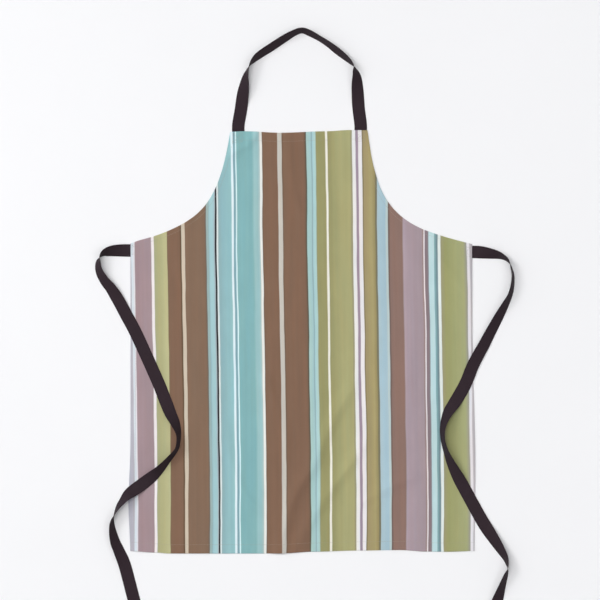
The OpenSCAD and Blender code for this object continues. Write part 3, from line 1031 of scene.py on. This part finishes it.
def thread_material():
    """Twisted sewing thread: fine slanting plies round each stitch, with painted shade in the grooves
    between them.
    """
    material, tree, surface = new_material("thread")
    along, across, _ = stored(tree, "weave")
    twist = wave_of(tree, calc(tree, "ADD", along, across), PLY_PITCH)
    # Painted shade: the grooves between the plies get a darker copy of the thread colour.
    dark = to_linear(tuple(0.8 * c for c in THREAD_COLOUR))
    feed(tree, surface.inputs["Base Color"], mix_of(tree, twist, dark, to_linear(THREAD_COLOUR)))
    surface.inputs["Roughness"].default_value = 0.7
    surface.inputs["Sheen Weight"].default_value = 0.1
    feed(tree, surface.inputs["Normal"], bump_of(tree, twist, 0.00005, 0.5))
    return material


THREAD = thread_material()


def stitch_template():
    """One stitch along X: rings of points that rise from the cloth, run flat and dip again."""
    along = np.array([-0.5, -0.44, -0.25, 0.0, 0.25, 0.44, 0.5]) * STITCH_LEN
    thick = np.array([0.35, 0.8, 1.0, 1.0, 1.0, 0.8, 0.35]) * THREAD_R
    sunk = np.array([-0.9, -0.2, 0.0, 0.08, 0.0, -0.2, -0.9]) * THREAD_R
    angles = np.linspace(0, 2 * math.pi, 7)[:-1]
    points = [(x, r * math.cos(a), drop + r * math.sin(a))
              for x, r, drop in zip(along, thick, sunk) for a in angles]
    return np.array(points), tube_faces(len(along), len(angles))


def places_on(line, gone, at):
    """Places at distances at along a line, whose points are at the distances gone."""
    return np.column_stack([np.interp(at, gone, line[:, k]) for k in (0, 1)])


def stitches_along(line):
    """Middles and ways of the stitches along a line of points."""
    gone = np.concatenate([[0], np.cumsum(np.linalg.norm(np.diff(line, axis=0), axis=1))])
    count = max(2, round(gone[-1] / STITCH_PITCH))
    at = (np.arange(count) + 0.5) * gone[-1] / count
    reach = STITCH_LEN / 4
    ways = places_on(line, gone, at + reach) - places_on(line, gone, at - reach)
    return places_on(line, gone, at), ways / np.linalg.norm(ways, axis=1)[:, None]


def build_stitches(name, lines, front_z, back_z, body, nodes, place=None):
    """Every stitch of a seam, on the front and, turned over, on the back.

    A seam on the cloth lies with it. One with a place lies at that height, off the cloth.
    """
    template, template_faces = stitch_template()
    rng = np.random.default_rng(len(name))
    points, faces, weave = [], [], []
    for line in lines:
        middles, ways = stitches_along(np.array(line, float))
        laid_x, laid_y = lie(*middles.T) if place is None else middles.T
        rise = lift(laid_x, laid_y) if place is None else np.full(len(laid_x), place)
        turns = np.arctan2(ways[:, 1], ways[:, 0]) + rng.normal(0, 0.04, len(ways))
        for x, y, up, turn in zip(laid_x, laid_y, rise, turns):
            for level, side in ((front_z, 1), (back_z, -1)):
                if level is None:
                    continue
                first = len(points) * len(template)
                c, s = math.cos(turn), math.sin(turn)
                points.append(np.column_stack([
                    x + template[:, 0] * c - template[:, 1] * s,
                    y + template[:, 0] * s + template[:, 1] * c,
                    level + up + side * template[:, 2],
                ]))
                weave.append(template)
                faces += [tuple(first + k for k in face) for face in template_faces]
    seam = new_object(name, np.concatenate(points), faces, THREAD)
    store(seam, "weave", np.concatenate(weave))
    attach(seam, body)
    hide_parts(*nodes)
    return seam


FRONT_THREAD_Z = FRONT_Z + THREAD_R * 0.5
BACK_THREAD_Z = HEM_LOW_Z + THREAD_R * 0.55


def hem_stitch_lines():
    """The line of stitching of each hem, along its inner edge."""
    top_in = TOP_HEM - INSET_OF_LINE
    armhole_in = ARMHOLE_HEM - INSET_OF_LINE
    side_in = SIDE_X - SIDE_HEM + INSET_OF_LINE
    bottom_in = BOTTOM_Y + BOTTOM_HEM - INSET_OF_LINE
    top_half = BIB_HALF - ARMHOLE_HEM + 0.003
    lines = {
        "bib_top": [(BIB_SHIFT - top_half, TOP_Y - top_in), (BIB_SHIFT + top_half, TOP_Y - top_in)],
        "bottom": [(-SIDE_X + 0.002, bottom_in), (SIDE_X - 0.002, bottom_in)],
    }
    for side, word in ((-1, "left"), (1, "right")):
        curve, _ = armhole(np.linspace(0.005, 0.995, 90), armhole_in)
        x = shifted(side * curve[:, 0], curve[:, 1])
        lines[f"{word}_armhole"] = np.column_stack([x, curve[:, 1]])
        side_high = SIDE_TOP_Y - ARMHOLE_HEM + 0.001
        lines[f"{word}_side"] = [(side * side_in, bottom_in), (side * side_in, side_high)]
    return lines


def box_lines(middle, half_along, half_across, turned):
    """A square of stitching, crossed from corner to corner."""
    corners = [(-1, -1), (1, -1), (1, 1), (-1, 1), (-1, -1)]
    sizes = (half_across, half_along) if turned else (half_along, half_across)
    points = [(middle[0] + sx * sizes[0], middle[1] + sy * sizes[1]) for sx, sy in corners]
    sides = [points[i:i + 2] for i in range(4)]
    return sides + [[points[0], points[2]], [points[1], points[3]]]


def build_stitching():
    """The seams of the six hems, and a crossed square on each sewn end of tape."""
    seams = []
    for word, line in hem_stitch_lines().items():
        seams.append(build_stitches(f"{word}_stitches", [line], FRONT_THREAD_Z, BACK_THREAD_Z,
                                    "apron", [f"{word}_stitching"]))
    inset = 0.003
    half_along, half_across = SEWN / 2 - inset, TAPE_W / 2 - inset
    nodes = ["neck_left_box_stitch", "neck_right_box_stitch", "left_tie_box_stitch",
             "right_tie_box_stitch"]
    for (mid_x, mid_y, _, _), node in zip(sewn_middles(), nodes):
        lines = box_lines((mid_x, mid_y), half_along, half_across, node.startswith("neck"))
        back = THREAD_R * 0.25 - OVER_TAPE
        seams.append(build_stitches(f"{node}es", lines, FRONT_THREAD_Z + THREAD_R, back,
                                    "apron", [node]))
    return seams


seams = build_stitching()

# ---------------------------------------------------------------- turned tips of the ties


def tip_profile():
    """How the end of the tape turns back over itself: places back from the tip, and heights."""
    outer = [(TIP_LEN, 1.08 * TAPE_T), (TIP_LEN + 0.0003, 1.5 * TAPE_T), (TIP_LEN, 1.95 * TAPE_T)]
    outer += [(TIP_LEN * k / 4, 2.0 * TAPE_T) for k in (3, 2, 1, 0)]
    for turn in (120, 150, 180, 210, 240):
        angle = math.radians(turn)
        outer.append((TAPE_T * math.cos(angle), TAPE_T + TAPE_T * math.sin(angle)))
    inner = [(0.0002, 0.02 * TAPE_T), (-0.0001, 0.5 * TAPE_T), (0.0002, 1.02 * TAPE_T)]
    inner += [(TIP_LEN * k / 4, 1.02 * TAPE_T) for k in (1, 2, 3)]
    return np.array(outer + inner)


def build_tip(word, line, material):
    """The turned end and the stitches across it."""
    end = line.middle[-1]
    back = line.middle[-3] - end
    back = back / np.linalg.norm(back)
    across = np.array([-back[1], back[0], 0.0])
    profile = tip_profile()
    sides = np.linspace(-0.5, 0.5, 7) * (TAPE_W - 0.0006)
    points, weave = [], []
    for side in sides:
        for along, height in profile:
            points.append(end + back * along + across * side + np.array([0, 0, height - TAPE_T / 2]))
            weave.append((along, side, 0))
    tip = new_object(f"{word}_tie_turned_tip", points, tube_faces(len(sides), len(profile)), material)
    store(tip, "weave", weave)
    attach(tip, f"tie_{word}")
    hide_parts(f"{word}_tie_tip")
    middle = end + back * (TIP_LEN - INSET_OF_LINE)
    reach = across * (TAPE_W / 2 - 0.002)
    row = [(middle - reach)[:2], (middle + reach)[:2]]
    seam = build_stitches(f"{word}_tie_tip_stitches", [row], 2 * TAPE_T + THREAD_R * 0.5, None,
                          f"tie_{word}", [f"{word}_tie_tip_stitch"], place=0.0)
    return [tip, seam]


left_tip = build_tip("left", LEFT_LINE, TAPE)
right_tip = build_tip("right", RIGHT_LINE, TAPE)

# ---------------------------------------------------------------- what moves with what

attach(panel, "apron")
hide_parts("apron_panel")

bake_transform(neck_tape)
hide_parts("neck_loop", "neck_tape_left_end", "neck_tape_right_end")

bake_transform(left_tape)
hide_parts("left_tie", "left_tie_end")

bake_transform(right_tape)
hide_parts("right_tie", "right_tie_end")

# ---------------------------------------------------------------- floor and light

FLOOR_COLOUR = (247, 247, 249)
FLOOR_HALF = 30.0
FLOOR_Z = -0.0002


def build_floor():
    """A wide plain pale floor, just under the apron."""
    material, tree, surface = new_material("floor")
    place = tree.nodes.new("ShaderNodeTexCoord").outputs["Object"]
    grain = noise_of(tree, place, 6.0, 3.0, 0.5)
    colour = to_linear(FLOOR_COLOUR)
    paler = to_linear(tuple(c - 2 for c in FLOOR_COLOUR))
    feed(tree, surface.inputs["Base Color"], mix_of(tree, grain, colour, paler))
    surface.inputs["Roughness"].default_value = 0.9
    surface.inputs["Specular IOR Level"].default_value = 0.1
    half = FLOOR_HALF
    corners = [(-half, -half, 0), (half, -half, 0), (half, half, 0), (-half, half, 0)]
    floor = new_object("floor", corners, [(0, 1, 2, 3)], material)
    floor.location.z = FLOOR_Z


def aim(lamp, towards):
    """Turns a lamp so that it shines from the direction towards."""
    lamp.rotation_mode = "QUATERNION"
    lamp.rotation_quaternion = towards.to_track_quat("Z", "Y")
    bpy.context.scene.collection.objects.link(lamp)


def add_sun(name, azimuth, elevation, strength, spread):
    """Soft light from a side: azimuth 0 is from +X, and 90 from +Y."""
    data = bpy.data.lights.new(name, "SUN")
    data.energy = strength
    data.angle = math.radians(spread)
    a, e = math.radians(azimuth), math.radians(elevation)
    towards = Vector((math.cos(a) * math.cos(e), math.sin(a) * math.cos(e), math.sin(e)))
    aim(bpy.data.objects.new(name, data), towards)


def add_softbox(name, place, at, size, power):
    """A long softbox beside the apron, which shines on the point at."""
    data = bpy.data.lights.new(name, "AREA")
    data.shape = "RECTANGLE"
    data.size, data.size_y = size
    data.energy = power
    softbox = bpy.data.objects.new(name, data)
    softbox.location = place
    softbox.visible_camera = False
    aim(softbox, Vector(place) - Vector(at))


PALE_UP_TO = 0.3
HORIZON_STRENGTH = 0.6
SKY_STRENGTH = 0.17


def build_world():
    """A dim sky that pales towards the horizon, behind the floor."""
    world = bpy.data.worlds.new("world")
    world.use_nodes = True
    tree = world.node_tree
    background = tree.nodes["Background"]
    background.inputs["Color"].default_value = (0.98, 0.99, 1.0, 1.0)
    direction = tree.nodes.new("ShaderNodeSeparateXYZ")
    tree.links.new(tree.nodes.new("ShaderNodeTexCoord").outputs["Generated"], direction.inputs[0])
    climb = tree.nodes.new("ShaderNodeMapRange")
    tree.links.new(direction.outputs["Z"], climb.inputs["Value"])
    climb.inputs["From Max"].default_value = PALE_UP_TO
    climb.inputs["To Min"].default_value = HORIZON_STRENGTH
    climb.inputs["To Max"].default_value = SKY_STRENGTH
    tree.links.new(climb.outputs["Result"], background.inputs["Strength"])
    bpy.context.scene.world = world


def build_light():
    """Suns for soft even light, mostly from the upper left, and one weak softbox beside them."""
    add_softbox("softbox", (-1.55, 0.45, 1.30), (-0.2, 0.10, 0), (0.5, 1.8), 4.2)
    add_sun("key", 150, 45, 0.86, 20)
    add_sun("fill", -15, 66, 0.45, 35)
    add_sun("top", 95, 60, 0.18, 30)
    add_sun("overhead", 150, 78, 1.29, 36)


build_floor()
build_world()
build_light()
bpy.context.scene.view_settings.view_transform = "Standard"

# ---------------------------------------------------------------- hand over

bpy.context.view_layer.update()
